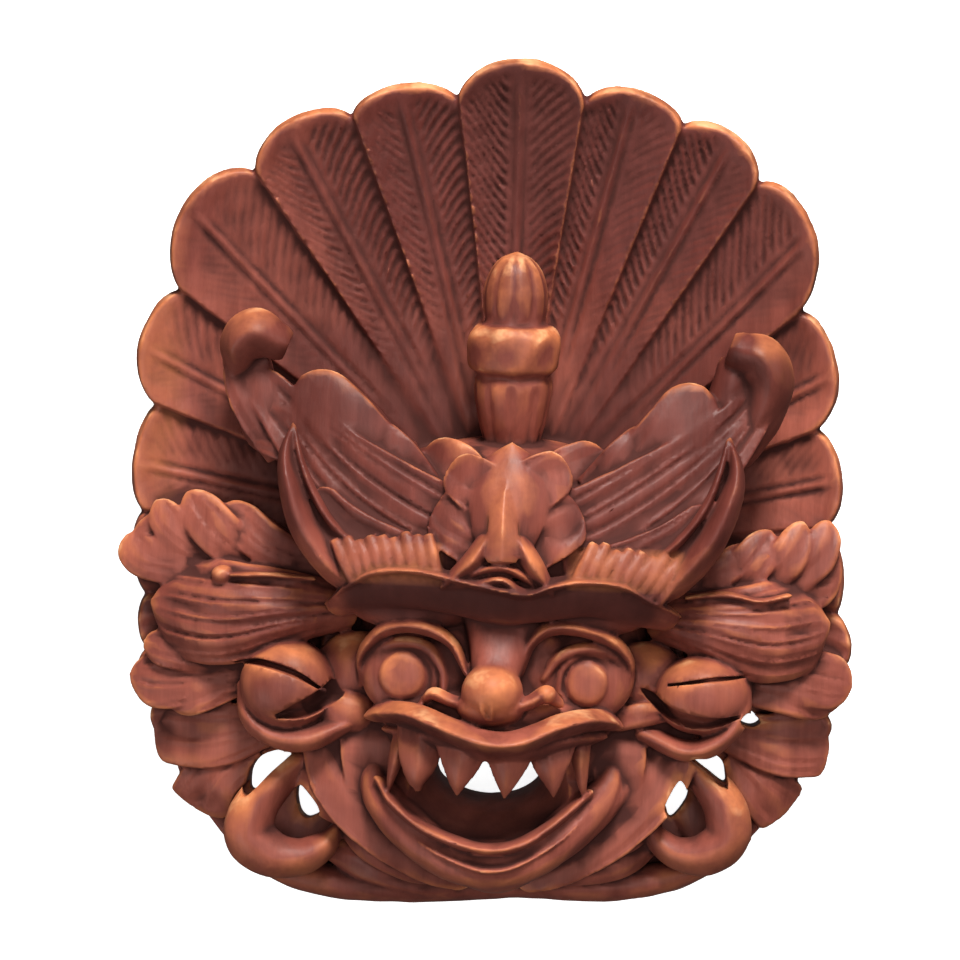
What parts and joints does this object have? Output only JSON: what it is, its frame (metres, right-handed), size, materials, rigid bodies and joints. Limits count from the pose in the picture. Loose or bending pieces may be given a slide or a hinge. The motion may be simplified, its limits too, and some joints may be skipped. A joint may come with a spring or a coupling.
{
  "type": "barong mask",
  "caption": "Carved wooden Balinese barong mask with a beaked face, bared teeth, a leafy crown with a lotus bud, curled side leaves and a scalloped fan of feathers behind.",
  "frame": {"origin": "centre of the bounding box's underside, on the flat back rim the mask lies on", "axes": "+Z out of the face, +Y up the face to the top feather, +X to the viewer's right"},
  "size_m": [0.3076, 0.354, 0.1209],
  "materials": {
    "wood": "satin reddish-brown stain, worn to pale orange wood on edges"
  },
  "bodies": {
    "root": {"mask": "wood"}
  },
  "joints": []
}
